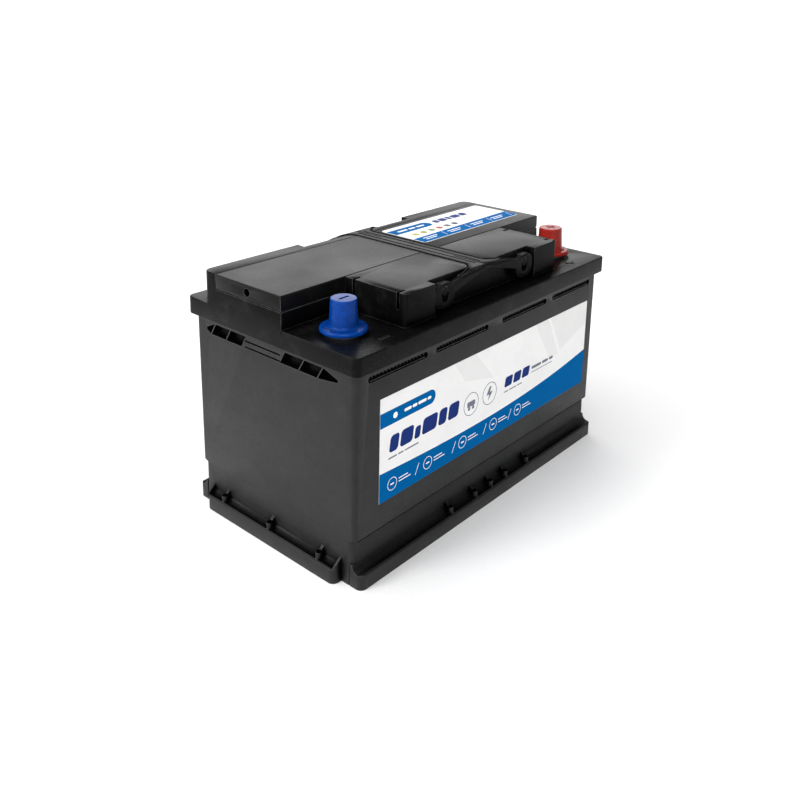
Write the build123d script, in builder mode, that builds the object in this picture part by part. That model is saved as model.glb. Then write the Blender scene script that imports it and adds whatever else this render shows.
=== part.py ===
from build123d import *
import os
from math import radians, tan

os.makedirs("parts", exist_ok=True)

# ---------------------------------------------------------------- driving dimensions, millimetres
# Origin: centre of the underside. X runs along the length, Y from front to back, Z up.
overall_length = 315.0
overall_width = 175.0
overall_height = 190.0

# lid
lid_length = 309.0
lid_corner_radius = 5.0
deck_top = 166.0
deck_thickness = 4.0
skirt_bottom = 152.8
edge_round = 0.8
fit_gap = 0.15
edge_tolerance = 0.05

# container
end_wall_inset = 3.5
long_wall_inset = 5.0
container_corner_radius = 4.5
draft_angle = 0.4
floor_thickness = 4.0
end_wall_thickness = 5.5
partition_thickness = 2.0
cell_count = 6
upper_cavity_width = 157.0
lower_cavity_width = 150.0
cavity_step_height = 38.0
plate_rest_height = 10.0
plate_rest_thickness = 2.0
plate_rest_places = (-55.0, -20.0, 20.0, 55.0)
foot_step_top = 34.0
foot_step_bottom = 32.6
foot_step_depth = 2.4
foot_groove_width = 1.7
foot_groove_depth = 1.7
foot_groove_margin = 5.5

# base ledges for hold-downs
ledge_height = 10.5
ledge_lip = 1.5
ledge_lip_rise = 0.8
ledge_slope_top = 16.6
ledge_sag = 1.9
ledge_overlap = 2.0
end_ledge_length = 138.0
ledge_corner_radius = 5.0
rib_thickness = 2.4
rib_rise = 2.4
boss_radius = 2.6
boss_hole_radius = 1.4
boss_top = 15.6
boss_hole_bottom = 9.0
boss_offset = 0.2
end_lip_thickness = 1.8
end_lip_rise = 1.4
long_rib_places = (-50.0, -20.0, 0.0, 20.0, 50.0)
end_rib_places = (-51.0, 0.0, 51.0)

# grip slots in the long walls
slot_depth = 3.0
slot_height = 4.4
slot_middle = 145.4
slot_inner_end = 9.0
slot_break = (70.5, 79.5)
slot_outer_end = 139.0

# ribbed pockets in the end walls, with leaning ribs between them
pocket_depth = 4.6
pocket_bottom = 140.6
pocket_top = 149.4
pocket_lean = 2.7
pocket_spans = ((45.0, 61.3), (27.2, 44.0), (-32.1, -13.9), (-50.0, -33.1))
tip_height = 144.0
tip_width = 2.0
tip_places = ((62.3, 69.2), (-51.0, -66.9))
groove_ends = (-11.5, 26.0)
groove_depth = 1.6
groove_width = 1.2
groove_heights = (141.5, 146.0)

# raised block in front of the cover, and rail behind it
block_half_length = 94.5
block_front = -74.3
block_back = -17.5
block_wall = 3.0
block_corner_radius = 2.5
block_cavity_half_length = 85.0
block_cavity_top = 182.0
rail_front = 52.5
rail_back = 67.5
rail_corner_radius = 7.0
seam_gap = 0.4
clip_slot_width = 2.0
clip_slot_depth = 6.5
clip_slot_height = 12.0
clip_slot_places = (-67.3, -26.0)

# recesses that hold the handle's ends
recess_half_length = 62.5
recess_depth = 8.0

# vent cover, flame arrestors and vent plug
cover_bottom = 178.6
cover_wall = 3.0
cover_solid_end = 16.0
gas_channel_top = 183.6
gas_chamber_top = 187.0
gas_chamber_start = 16.0
shadow_gap_depth = 1.2
shadow_gap_height = 0.8
vent_radius = 2.9
vent_y = 17.8
vent_z = 184.3
arrestor_radius = 4.2
arrestor_thickness = 3.0
plug_clearance = 0.05
plug_shank_length = 9.0
plug_head_gap = 0.3
plug_head_radius = 4.4
plug_head_thickness = 2.2

# carry handle
strap_width = 20.0
strap_thickness = 3.0
strap_gap = 1.2
strap_groove_place = 3.4
strap_groove_width = 1.6
strap_groove_depth = 0.7
groove_margin = 9.0
rest_gap = 0.4
plate_thickness = 3.5
plate_clearance = 3.5
flare_radius = 9.0
bend_radius = 4.2
bend_inner_radius = 0.7
leg_crotch_height = 187.8
leg_fall = 10.6
leg_overlap = 2.0
leg_edge_drop = 1.8
leg_shoulder = (24.0, 188.0)
leg_start = 14.0
split_width = 0.9
split_depth = 1.2
split_length = 32.0
lug_spacing = 100.0
lug_width = 22.0
lug_corner_radius = 8.0
lug_bottom = 168.8
lug_top = 187.2
pin_radius = 3.5
pin_clearance = 0.3
handle_lift = 4.5
handle_pin_z = 181.2

# terminals and their caps
terminal_x = 127.0
terminal_y = -48.5
taper_start = 168.0
taper_height = 18.0
taper_drop = 1.0
negative_base_radius = 8.95
positive_base_radius = 9.75
collar_radius = 13.0
insert_radius = 12.0
insert_bottom = 158.0
pillar_radius = 5.5
cap_clearance = 0.3
cap_seat_gap = 1.2
cap_wall = 0.65
cap_flange_radius = 16.4
cap_flange_thickness = 3.4
cap_rim_round = 1.4
cap_root_round = 2.4
cap_mark_depth = 0.7
mark_length = 9.0
mark_width = 2.2
mark_height = 0.5
mark_inset = 11.0
mark_y = -74.9

# valve plugs
valve_y = 17.8
valve_radius = 9.0
valve_head_radius = 11.5
valve_bottom = 154.0
valve_head_height = 3.0
valve_wall = 3.0
valve_hollow = 6.0
valve_slot_size = (14.0, 2.4)
valve_slot_depth = 1.4
seal_thickness = 1.2
seal_margin = 0.4

# plate groups, mats and welds
stack_clearance = 0.5
plate_width = 146.0
plate_top = 138.0
positive_plate = 2.2
negative_plate = 1.8
positive_count = 7
negative_count = 8
mat_gap = 0.02
mat_margin = 1.0
mat_rise = 2.0
tab_width = 12.0
plate_strap_bottom = 146.0
plate_strap_top = 154.0
plate_strap_width = 16.0
plate_strap_y = 48.5
weld_radius = 3.4
weld_z = 150.0

# labels
label_thickness = 0.25
front_label_size = (265.0, 76.0)
front_label_middle = 90.3
front_label_shift = 5.2
top_label_size = (133.0, 49.0)
top_label_centre = (79.0, 22.0)
top_label_corner = 3.0

# ---------------------------------------------------------------- worked-out dimensions
half_lid_length = lid_length / 2
half_width = overall_width / 2
container_top = deck_top - deck_thickness
wall_length = lid_length - 2 * end_wall_inset
wall_width = overall_width - 2 * long_wall_inset


def wall_shrink(z):
    """How far the container's walls have drawn in at height z."""
    return (container_top - z) * tan(radians(draft_angle))


foot_half_length = wall_length / 2 - wall_shrink(0)
foot_half_width = wall_width / 2 - wall_shrink(0) - foot_step_depth
cavity_length = 2 * (foot_half_length - end_wall_thickness)
cell_length = (cavity_length - (cell_count - 1) * partition_thickness) / cell_count
cell_pitch = cell_length + partition_thickness
cell_centres = [cell_pitch * (i - (cell_count - 1) / 2) for i in range(cell_count)]
partition_centres = [centre + cell_pitch / 2 for centre in cell_centres[:-1]]

recess_front_face = block_front + recess_depth
recess_back_face = rail_back - recess_depth
handle_middle = (block_front + rail_back) / 2
strap_bottom = overall_height - strap_thickness
channel_floor = strap_bottom - rest_gap
front_plate_outer = recess_front_face - plate_clearance - plate_thickness
half_strap_run = handle_middle - front_plate_outer
crossbar_half_length = recess_half_length - 1


def box_between(low, high, mode=Mode.ADD):
    """A box from one corner to the opposite one, inside the part being built."""
    size = [b - a for a, b in zip(low, high)]
    middle = [(a + b) / 2 for a, b in zip(low, high)]
    with Locations(tuple(middle)):
        Box(*size, mode=mode)


def rod_along_x(middle, radius, length, mode=Mode.ADD):
    """A round rod along X, inside the part being built."""
    with Locations(Location(middle, (0, 90, 0))):
        Cylinder(radius, length, mode=mode)


def rod_along_y(middle, radius, length, mode=Mode.ADD):
    """A round rod along Y, inside the part being built."""
    with Locations(Location(middle, (90, 0, 0))):
        Cylinder(radius, length, mode=mode)


def upright_rod(place, low_z, high_z, radius, mode=Mode.ADD):
    """A round rod along Z between two heights, inside the part being built."""
    with Locations((place[0], place[1], (low_z + high_z) / 2)):
        Cylinder(radius, high_z - low_z, mode=mode)


def strap_plan(gap):
    """Plan outline of the handle: a strap that flares into a crossbar at each end."""
    crossbar_depth = recess_front_face - strap_gap + gap - front_plate_outer
    with BuildSketch() as plan:
        with Locations((0, handle_middle)):
            Rectangle(strap_width + 2 * gap, 2 * half_strap_run)
        for end in (-1, 1):
            with Locations((0, handle_middle + end * (half_strap_run - crossbar_depth / 2))):
                Rectangle(2 * crossbar_half_length, crossbar_depth)
        inner = plan.vertices().filter_by(lambda v: abs(v.X) < strap_width)
        fillet(inner, flare_radius - gap)
    return plan.sketch


handle_plan = strap_plan(0)
channel_plan = strap_plan(strap_gap)

# ---------------------------------------------------------------- container
with BuildPart() as container:
    # hold-down ledges: an upright face, a small lip, then a hollow slope up to the wall
    ledge_runs = (
        (Plane.YZ.offset(-foot_half_length), foot_half_width, half_width, 2 * foot_half_length),
        (Plane.XZ.offset(-end_ledge_length / 2), foot_half_length, overall_length / 2, end_ledge_length),
    )
    for plane, wall, outer, run in ledge_runs:
        for side in (-1, 1):
            lip = (side * (outer - ledge_lip), ledge_height + ledge_lip_rise)
            top = (side * wall, ledge_slope_top)
            sag_y = side * ((outer - ledge_lip + wall) / 2 - ledge_sag)
            sag_place = (sag_y, (lip[1] + top[1]) / 2 - ledge_sag)
            with BuildSketch(plane):
                with BuildLine():
                    Polyline(
                        top,
                        (side * (wall - ledge_overlap), ledge_slope_top),
                        (side * (wall - ledge_overlap), 0),
                        (side * outer, 0),
                        (side * outer, ledge_height),
                        lip,
                    )
                    ThreePointArc(lip, sag_place, top)
                make_face()
            extrude(amount=run)

    # lips that close both ends of the end ledges
    lip_inner = foot_half_length - ledge_overlap
    for side in (-1, 1):
        for end in (-1, 1):
            lip_start = end * end_ledge_length / 2 - min(end, 0) * end_lip_thickness
            with BuildSketch(Plane.XZ.offset(-lip_start)):
                with BuildLine():
                    Polyline(
                        (side * lip_inner, ledge_height - ledge_overlap),
                        (side * overall_length / 2, ledge_height - ledge_overlap),
                        (side * overall_length / 2, ledge_height + ledge_lip_rise),
                        (side * foot_half_length, ledge_slope_top + end_lip_rise),
                        (side * lip_inner, ledge_slope_top + end_lip_rise),
                        close=True,
                    )
                make_face()
            extrude(amount=end_lip_thickness)
    with BuildSketch():
        RectangleRounded(2 * foot_half_length, overall_width, ledge_corner_radius)
        RectangleRounded(overall_length, end_ledge_length, ledge_corner_radius)
    extrude(amount=overall_height, mode=Mode.INTERSECT)

    # foot, sloping shoulder and drafted walls
    with BuildSketch(Plane.XY.offset(foot_step_bottom)) as foot_outline:
        RectangleRounded(2 * foot_half_length, 2 * foot_half_width, container_corner_radius)
    extrude(amount=-foot_step_bottom)
    with BuildSketch(Plane.XY.offset(container_top)):
        RectangleRounded(wall_length, wall_width, container_corner_radius)
    extrude(amount=foot_step_top - container_top, taper=draft_angle)
    shoulder_top = container.faces().filter_by(lambda f: abs(f.center().Z - foot_step_top) < edge_tolerance)
    loft(sections=[foot_outline.sketch.face(), shoulder_top.face()])

    # small ribs that stiffen the ledges
    rib_runs = (
        (Plane.YZ, 1, foot_half_width, half_width, long_rib_places),
        (Plane.XZ, -1, foot_half_length, overall_length / 2, end_rib_places),
    )
    for plane, direction, wall, outer, places in rib_runs:
        for side in (-1, 1):
            for place in places:
                with BuildSketch(plane.offset(direction * place - rib_thickness / 2)):
                    with BuildLine():
                        Polyline(
                            (side * (wall - ledge_overlap), ledge_height - ledge_overlap),
                            (side * (outer - ledge_lip), ledge_height - ledge_overlap),
                            (side * (outer - ledge_lip), ledge_height + ledge_lip_rise),
                            (side * wall, ledge_slope_top + rib_rise),
                            (side * (wall - ledge_overlap), ledge_slope_top + rib_rise),
                            close=True,
                        )
                    make_face()
                extrude(amount=rib_thickness)

    # a small hollow boss in front of every rib
    for side in (-1, 1):
        boss_y = side * ((foot_half_width + half_width - ledge_lip) / 2 + boss_offset)
        boss_x = side * ((foot_half_length + overall_length / 2 - ledge_lip) / 2 + boss_offset)
        for place in [(x, boss_y) for x in long_rib_places] + [(boss_x, y) for y in end_rib_places]:
            upright_rod(place, ledge_height - ledge_overlap, boss_top, boss_radius)
            upright_rod(place, boss_hole_bottom, boss_top + 1, boss_hole_radius, Mode.SUBTRACT)

    # a fine groove under the shoulder of each long wall
    for side in (-1, 1):
        groove_end = foot_half_length - foot_groove_margin
        low_y, high_y = sorted((side * (foot_half_width - foot_groove_depth), side * (foot_half_width + 1)))
        box_between(
            (-groove_end, low_y, foot_step_bottom - foot_groove_width),
            (groove_end, high_y, foot_step_bottom),
            Mode.SUBTRACT,
        )

    # grip slots in the long walls
    slot_spans = ((slot_inner_end, slot_break[0]), (slot_break[1], slot_outer_end))
    wall_face = wall_width / 2 - wall_shrink(slot_middle)
    for side in (-1, 1):
        with BuildSketch(Plane.XZ.offset(-side * (wall_face + 1))):
            for near, far in slot_spans:
                for end in (-1, 1):
                    with Locations((end * (near + far) / 2, slot_middle)):
                        SlotOverall(far - near, slot_height)
        extrude(amount=side * (slot_depth + 1), mode=Mode.SUBTRACT)

    # ribbed pockets and fine grooves in the end walls
    pocket_outlines = [
        (
            (near + pocket_lean, pocket_bottom),
            (far + pocket_lean, pocket_bottom),
            (far - pocket_lean, pocket_top),
            (near - pocket_lean, pocket_top),
        )
        for near, far in pocket_spans
    ]
    for near, far in tip_places:
        pocket_outlines.append(
            (
                (near + pocket_lean, pocket_bottom),
                (far, tip_height - tip_width / 2),
                (far, tip_height + tip_width / 2),
                (near - pocket_lean, pocket_top),
            )
        )
    end_face = wall_length / 2 - wall_shrink(pocket_top)
    for side in (-1, 1):
        for outline in pocket_outlines:
            with BuildSketch(Plane.YZ.offset(side * (end_face - pocket_depth))):
                with BuildLine():
                    Polyline(*outline, close=True)
                make_face()
            extrude(amount=side * (pocket_depth + 1), mode=Mode.SUBTRACT)
        for groove_z in groove_heights:
            low_x, high_x = sorted((side * (end_face - groove_depth), side * (end_face + 1)))
            box_between(
                (low_x, groove_ends[0], groove_z - groove_width / 2),
                (high_x, groove_ends[1], groove_z + groove_width / 2),
                Mode.SUBTRACT,
            )

    # cell cavities, with rests under the plates
    for centre in cell_centres:
        low_x = centre - cell_length / 2
        high_x = centre + cell_length / 2
        box_between(
            (low_x, -lower_cavity_width / 2, floor_thickness),
            (high_x, lower_cavity_width / 2, cavity_step_height),
            Mode.SUBTRACT,
        )
        box_between(
            (low_x, -upper_cavity_width / 2, cavity_step_height),
            (high_x, upper_cavity_width / 2, container_top + 1),
            Mode.SUBTRACT,
        )
    for rest_y in plate_rest_places:
        box_between(
            (-cavity_length / 2, rest_y - plate_rest_thickness / 2, floor_thickness - 1),
            (cavity_length / 2, rest_y + plate_rest_thickness / 2, plate_rest_height),
        )

    # holes for the welds through the partitions
    for i, place in enumerate(partition_centres):
        weld_y = plate_strap_y if i % 2 == 0 else -plate_strap_y
        rod_along_x((place, weld_y, weld_z), weld_radius, partition_thickness + 1, Mode.SUBTRACT)
container.part.label = "container"
export_step(container.part, "parts/container.step")

# ---------------------------------------------------------------- lid
with BuildPart() as lid:
    with BuildSketch(Plane.XY.offset(skirt_bottom)):
        RectangleRounded(lid_length, overall_width, lid_corner_radius)
    extrude(amount=deck_top - skirt_bottom)
    fillet(lid.faces().sort_by(Axis.Z)[-1].edges(), edge_round)

    # rail behind the cover, and the low walls that carry the cover
    with BuildSketch(Plane.XY.offset(deck_top - 1)):
        with Locations((0, (block_back + rail_back) / 2)):
            Rectangle(lid_length, rail_back - block_back)
        fillet(vertices().group_by(Axis.Y)[-1], rail_corner_radius)
    extrude(amount=overall_height - deck_top + 1)
    rail_rim = lid.faces().sort_by(Axis.Z)[-1].edges()
    fillet(rail_rim.filter_by(lambda e: e.center().Y > rail_front), edge_round)

    # raised front block
    with BuildSketch(Plane.XY.offset(deck_top - 1)):
        with Locations((0, (block_front + block_back) / 2)):
            Rectangle(2 * block_half_length, block_back - block_front)
        fillet(vertices().group_by(Axis.Y)[0], block_corner_radius)
    extrude(amount=overall_height - deck_top + 1)

    # seat of the cover
    box_between(
        (-half_lid_length - 1, block_back, cover_bottom),
        (half_lid_length + 1, rail_front, overall_height + 1),
        Mode.SUBTRACT,
    )

    # recesses for the ends of the handle
    for near_y, far_y in ((block_front - 1, recess_front_face), (recess_back_face, rail_back + 1)):
        box_between(
            (-recess_half_length, near_y, deck_top),
            (recess_half_length, far_y, overall_height + 1),
            Mode.SUBTRACT,
        )

    # channel for the strap
    with BuildSketch(Plane.XY.offset(channel_floor)):
        add(channel_plan)
    extrude(amount=overall_height - channel_floor + 1, mode=Mode.SUBTRACT)

    # clip slots at the block's ends
    for side in (-1, 1):
        low_x, high_x = sorted((side * (block_half_length - clip_slot_depth), side * (block_half_length + 1)))
        for place in clip_slot_places:
            box_between(
                (low_x, place - clip_slot_width / 2, overall_height - clip_slot_height),
                (high_x, place + clip_slot_width / 2, overall_height + 1),
                Mode.SUBTRACT,
            )

    # hollow under the front block, open to the cells, and the gas chamber under the cover
    box_between(
        (-block_cavity_half_length, recess_front_face + block_wall, container_top - 1),
        (block_cavity_half_length, block_back - block_wall, block_cavity_top),
        Mode.SUBTRACT,
    )
    box_between(
        (-half_lid_length + cover_solid_end, block_back + block_wall, deck_top),
        (half_lid_length - cover_solid_end, rail_front - block_wall, cover_bottom + 1),
        Mode.SUBTRACT,
    )
    for place in partition_centres[1:-1]:
        box_between(
            (place - partition_thickness / 2, recess_front_face + 1, container_top),
            (place + partition_thickness / 2, block_back - 1, block_cavity_top + 1),
        )

    # the skirt closes round the container's rim
    with BuildSketch(Plane.XY.offset(skirt_bottom - 1)):
        RectangleRounded(wall_length + 2 * fit_gap, wall_width + 2 * fit_gap, container_corner_radius)
    extrude(amount=container_top - skirt_bottom + 1, mode=Mode.SUBTRACT)

    # seats for the valve plugs and for the terminals
    for centre in cell_centres:
        upright_rod((centre, valve_y), container_top - 1, deck_top + 1, valve_radius, Mode.SUBTRACT)
    for side in (-1, 1):
        place = (side * terminal_x, terminal_y)
        upright_rod(place, container_top - 1, deck_top + 1, insert_radius, Mode.SUBTRACT)

    # pins that the handle's lugs slide on
    pin_length = plate_clearance + plate_thickness
    for side in (-1, 1):
        pin_x = side * lug_spacing / 2
        for face_y, direction in ((recess_front_face, -1), (recess_back_face, 1)):
            rod_along_y((pin_x, face_y + direction * pin_length / 2, handle_pin_z), pin_radius, pin_length)

    # plus and minus marks beside the terminals
    for side in (-1, 1):
        with BuildSketch(Plane.XY.offset(deck_top)):
            with Locations((side * (terminal_x - mark_inset), mark_y)):
                Rectangle(mark_length, mark_width)
                if side > 0:
                    Rectangle(mark_width, mark_length)
        extrude(amount=mark_height)
lid.part.label = "lid"
export_step(lid.part, "parts/lid.step")

# ---------------------------------------------------------------- vent cover, arrestors and vent plug
with BuildPart() as vent_cover:
    box_between(
        (-half_lid_length, block_back + seam_gap, cover_bottom),
        (half_lid_length, rail_front - seam_gap, overall_height),
    )
    fillet(vent_cover.faces().sort_by(Axis.Z)[-1].edges(), edge_round)

    # a fine shadow gap along the ends
    for side in (-1, 1):
        low_x, high_x = sorted((side * (half_lid_length - shadow_gap_depth), side * (half_lid_length + 1)))
        box_between(
            (low_x, -half_width, cover_bottom - 1),
            (high_x, half_width, cover_bottom + shadow_gap_height),
            Mode.SUBTRACT,
        )

    # channel for the strap
    with BuildSketch(Plane.XY.offset(channel_floor)):
        add(channel_plan)
    extrude(amount=overall_height - channel_floor + 1, mode=Mode.SUBTRACT)

    # gas channel under the strap, deeper on each side of it
    front_y = block_back + seam_gap + cover_wall
    back_y = rail_front - seam_gap - cover_wall
    chamber_end = half_lid_length - cover_solid_end
    box_between(
        (-chamber_end, front_y, cover_bottom - 1),
        (chamber_end, back_y, gas_channel_top),
        Mode.SUBTRACT,
    )
    for side in (-1, 1):
        low_x, high_x = sorted((side * gas_chamber_start, side * chamber_end))
        box_between((low_x, front_y, cover_bottom), (high_x, back_y, gas_chamber_top), Mode.SUBTRACT)

        # vent bore, with a seat for the arrestor at its inner end
        bore_middle = (side * (half_lid_length - cover_solid_end / 2), vent_y, vent_z)
        rod_along_x(bore_middle, vent_radius, cover_solid_end + 2, Mode.SUBTRACT)
        seat_middle = (side * (chamber_end + arrestor_thickness / 2 - 0.5), vent_y, vent_z)
        rod_along_x(seat_middle, arrestor_radius, arrestor_thickness + 1, Mode.SUBTRACT)
vent_cover.part.label = "vent_cover"
export_step(vent_cover.part, "parts/vent_cover.step")

for side, end_name in ((-1, "left"), (1, "right")):
    with BuildPart() as flame_arrestor:
        disc_middle = (side * (chamber_end + arrestor_thickness / 2), vent_y, vent_z)
        rod_along_x(disc_middle, arrestor_radius, arrestor_thickness)
    flame_arrestor.part.label = f"flame_arrestor_{end_name}"
    export_step(flame_arrestor.part, f"parts/flame_arrestor_{end_name}.step")

with BuildPart() as vent_plug:
    head_start = half_lid_length + plug_head_gap
    shank_radius = vent_radius - plug_clearance
    rod_along_x((head_start - plug_shank_length / 2, vent_y, vent_z), shank_radius, plug_shank_length)
    rod_along_x((head_start + plug_head_thickness / 2, vent_y, vent_z), plug_head_radius, plug_head_thickness)
    fillet(vent_plug.faces().sort_by(Axis.X)[-1].edges(), edge_round)
    chamfer(vent_plug.faces().sort_by(Axis.X)[0].edges(), edge_round)
vent_plug.part.label = "vent_plug"
export_step(vent_plug.part, "parts/vent_plug.step")

# ---------------------------------------------------------------- carry handle
with BuildPart() as carry_handle:
    # side profile: a flat strap bent down at both ends
    profile_middle = (lug_bottom + overall_height) / 2
    with BuildSketch(Plane.YZ):
        with Locations((handle_middle, profile_middle)):
            Rectangle(2 * half_strap_run, overall_height - lug_bottom)
        fillet(vertices().group_by(Axis.Y)[-1], bend_radius)
        with Locations((handle_middle, profile_middle - strap_thickness)):
            inner_run = half_strap_run - plate_thickness
            Rectangle(2 * inner_run, overall_height - lug_bottom, mode=Mode.SUBTRACT)
        inner_corners = vertices().filter_by(lambda v: abs(v.Y - strap_bottom) < edge_tolerance)
        fillet(inner_corners, bend_inner_radius)
    extrude(amount=recess_half_length, both=True)

    # front outline: two legs that spread from the strap to the lugs
    leg_end = lug_spacing / 2 - lug_width / 2 + leg_overlap
    slot_half_width = pin_radius + pin_clearance
    slot_low = handle_pin_z - slot_half_width - handle_lift
    slot_high = handle_pin_z + slot_half_width
    with BuildSketch(Plane.XZ):
        with BuildLine():
            Polyline(
                (0, leg_crotch_height),
                (leg_end, leg_crotch_height - leg_fall),
                (leg_end, lug_top - leg_edge_drop),
                leg_shoulder,
                (leg_start, overall_height + 1),
                (0, overall_height + 1),
                close=True,
            )
        make_face()
        mirror(about=Plane.YZ)
        for side in (-1, 1):
            with Locations((side * lug_spacing / 2, (lug_bottom + lug_top) / 2)):
                RectangleRounded(lug_width, lug_top - lug_bottom, lug_corner_radius)
            with Locations(Location((side * lug_spacing / 2, (slot_low + slot_high) / 2), 90)):
                SlotOverall(slot_high - slot_low, 2 * slot_half_width, mode=Mode.SUBTRACT)
    extrude(amount=overall_width, both=True, mode=Mode.INTERSECT)

    # plan outline: narrow strap, flared into the crossbars
    with BuildSketch(Plane.XY.offset(lug_bottom - 1)):
        add(handle_plan)
    extrude(amount=overall_height, mode=Mode.INTERSECT)

    # two shallow grooves leave three ridges along the strap
    groove_run = half_strap_run - groove_margin
    groove_bottom = overall_height - strap_groove_depth
    for side in (-1, 1):
        groove_x = side * strap_groove_place
        box_between(
            (groove_x - strap_groove_width / 2, handle_middle - groove_run, groove_bottom),
            (groove_x + strap_groove_width / 2, handle_middle + groove_run, overall_height + 1),
            Mode.SUBTRACT,
        )

    # a split between the legs at each end of the strap
    for end in (-1, 1):
        split_start = handle_middle + end * (half_strap_run - split_length)
        near_y, far_y = sorted((split_start, handle_middle + end * half_width))
        box_between(
            (-split_width / 2, near_y, overall_height - split_depth),
            (split_width / 2, far_y, overall_height + 1),
            Mode.SUBTRACT,
        )
carry_handle.part.label = "carry_handle"
export_step(carry_handle.part, "parts/carry_handle.step")

# ---------------------------------------------------------------- terminals, pillars and caps
taper_end = taper_start + taper_height
cap_bottom = deck_top + cap_seat_gap
flange_top = cap_bottom + cap_flange_thickness
post_sets = (("negative", -1, negative_base_radius), ("positive", 1, positive_base_radius))
for name, side, base_radius in post_sets:
    x = side * terminal_x
    post_plane = Plane.XZ.offset(-terminal_y)
    post_axis = Axis((x, terminal_y, 0), (0, 0, 1))
    top_radius = base_radius - taper_drop

    with BuildPart() as terminal:
        with BuildSketch(post_plane):
            with BuildLine():
                Polyline(
                    (x + pillar_radius, insert_bottom),
                    (x + insert_radius, insert_bottom),
                    (x + insert_radius, deck_top),
                    (x + collar_radius, deck_top),
                    (x + collar_radius, taper_start),
                    (x + base_radius, taper_start),
                    (x + top_radius, taper_end),
                    (x + pillar_radius, taper_end),
                    close=True,
                )
            make_face()
        revolve(axis=post_axis)
    terminal.part.label = f"{name}_terminal"
    export_step(terminal.part, f"parts/{name}_terminal.step")

    with BuildPart() as pillar:
        upright_rod((x, terminal_y), plate_strap_top, taper_end, pillar_radius)
    pillar.part.label = f"{name}_pillar"
    export_step(pillar.part, f"parts/{name}_pillar.step")

    with BuildPart() as cap:
        inner_base = base_radius + cap_clearance
        inner_top = top_radius + cap_clearance
        with BuildSketch(post_plane):
            with BuildLine():
                Polyline(
                    (x + collar_radius + cap_clearance, cap_bottom),
                    (x + cap_flange_radius, cap_bottom),
                    (x + cap_flange_radius, flange_top),
                    (x + inner_base + cap_wall, flange_top),
                    (x + inner_top + cap_wall, overall_height),
                    (x, overall_height),
                    (x, taper_end + cap_clearance),
                    (x + inner_top, taper_end + cap_clearance),
                    (x + inner_base, taper_start + cap_clearance),
                    (x + collar_radius + cap_clearance, taper_start + cap_clearance),
                    close=True,
                )
            make_face()
        revolve(axis=post_axis)
        circles = cap.edges().filter_by(GeomType.CIRCLE)
        fillet(circles.filter_by(lambda e: e.radius > cap_flange_radius - edge_tolerance), cap_rim_round)
        root = cap.edges().filter_by(GeomType.CIRCLE).filter_by(
            lambda e: abs(e.radius - inner_base - cap_wall) < edge_tolerance
        )
        fillet(root, cap_root_round)
        fillet(cap.faces().sort_by(Axis.Z)[-1].edges(), edge_round)
        with BuildSketch(Plane.XY.offset(overall_height - cap_mark_depth)):
            with Locations((x, terminal_y)):
                Rectangle(mark_length, mark_width)
                if side > 0:
                    Rectangle(mark_width, mark_length)
        extrude(amount=cap_mark_depth + 1, mode=Mode.SUBTRACT)
    cap.part.label = f"{name}_cap"
    export_step(cap.part, f"parts/{name}_cap.step")

# ---------------------------------------------------------------- valve plugs and their seals
head_bottom = deck_top + seal_thickness
head_top = head_bottom + valve_head_height
for number, centre in enumerate(cell_centres, 1):
    with BuildPart() as valve_plug:
        place = (centre, valve_y)
        upright_rod(place, valve_bottom, head_bottom, valve_radius)
        upright_rod(place, head_bottom, head_top, valve_head_radius)
        fillet(valve_plug.faces().sort_by(Axis.Z)[-1].edges(), edge_round)
        hollow_top = valve_bottom + valve_hollow
        upright_rod(place, valve_bottom, hollow_top, valve_radius - valve_wall, Mode.SUBTRACT)
        with BuildSketch(Plane.XY.offset(head_top - valve_slot_depth)):
            with Locations(place):
                Rectangle(*valve_slot_size)
        extrude(amount=valve_slot_depth + 1, mode=Mode.SUBTRACT)
    valve_plug.part.label = f"valve_plug_{number}"
    export_step(valve_plug.part, f"parts/valve_plug_{number}.step")

with BuildPart() as valve_seals:
    with BuildSketch(Plane.XY.offset(deck_top)):
        with Locations([(centre, valve_y) for centre in cell_centres]):
            Circle(valve_head_radius - seal_margin)
            Circle(valve_radius, mode=Mode.SUBTRACT)
    extrude(amount=seal_thickness)
valve_seals.part.label = "valve_seals"
export_step(valve_seals.part, "parts/valve_seals.step")

# ---------------------------------------------------------------- cells
# Negative plates stand at both outsides of each stack, and a glass mat fills each space between two plates.
stack_thickness = cell_length - 2 * stack_clearance
plate_metal = positive_count * positive_plate + negative_count * negative_plate
mat_thickness = (stack_thickness - plate_metal) / (positive_count + negative_count - 1)
plate_step = positive_plate + negative_plate + 2 * mat_thickness
half_step = plate_step / 2

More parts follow.
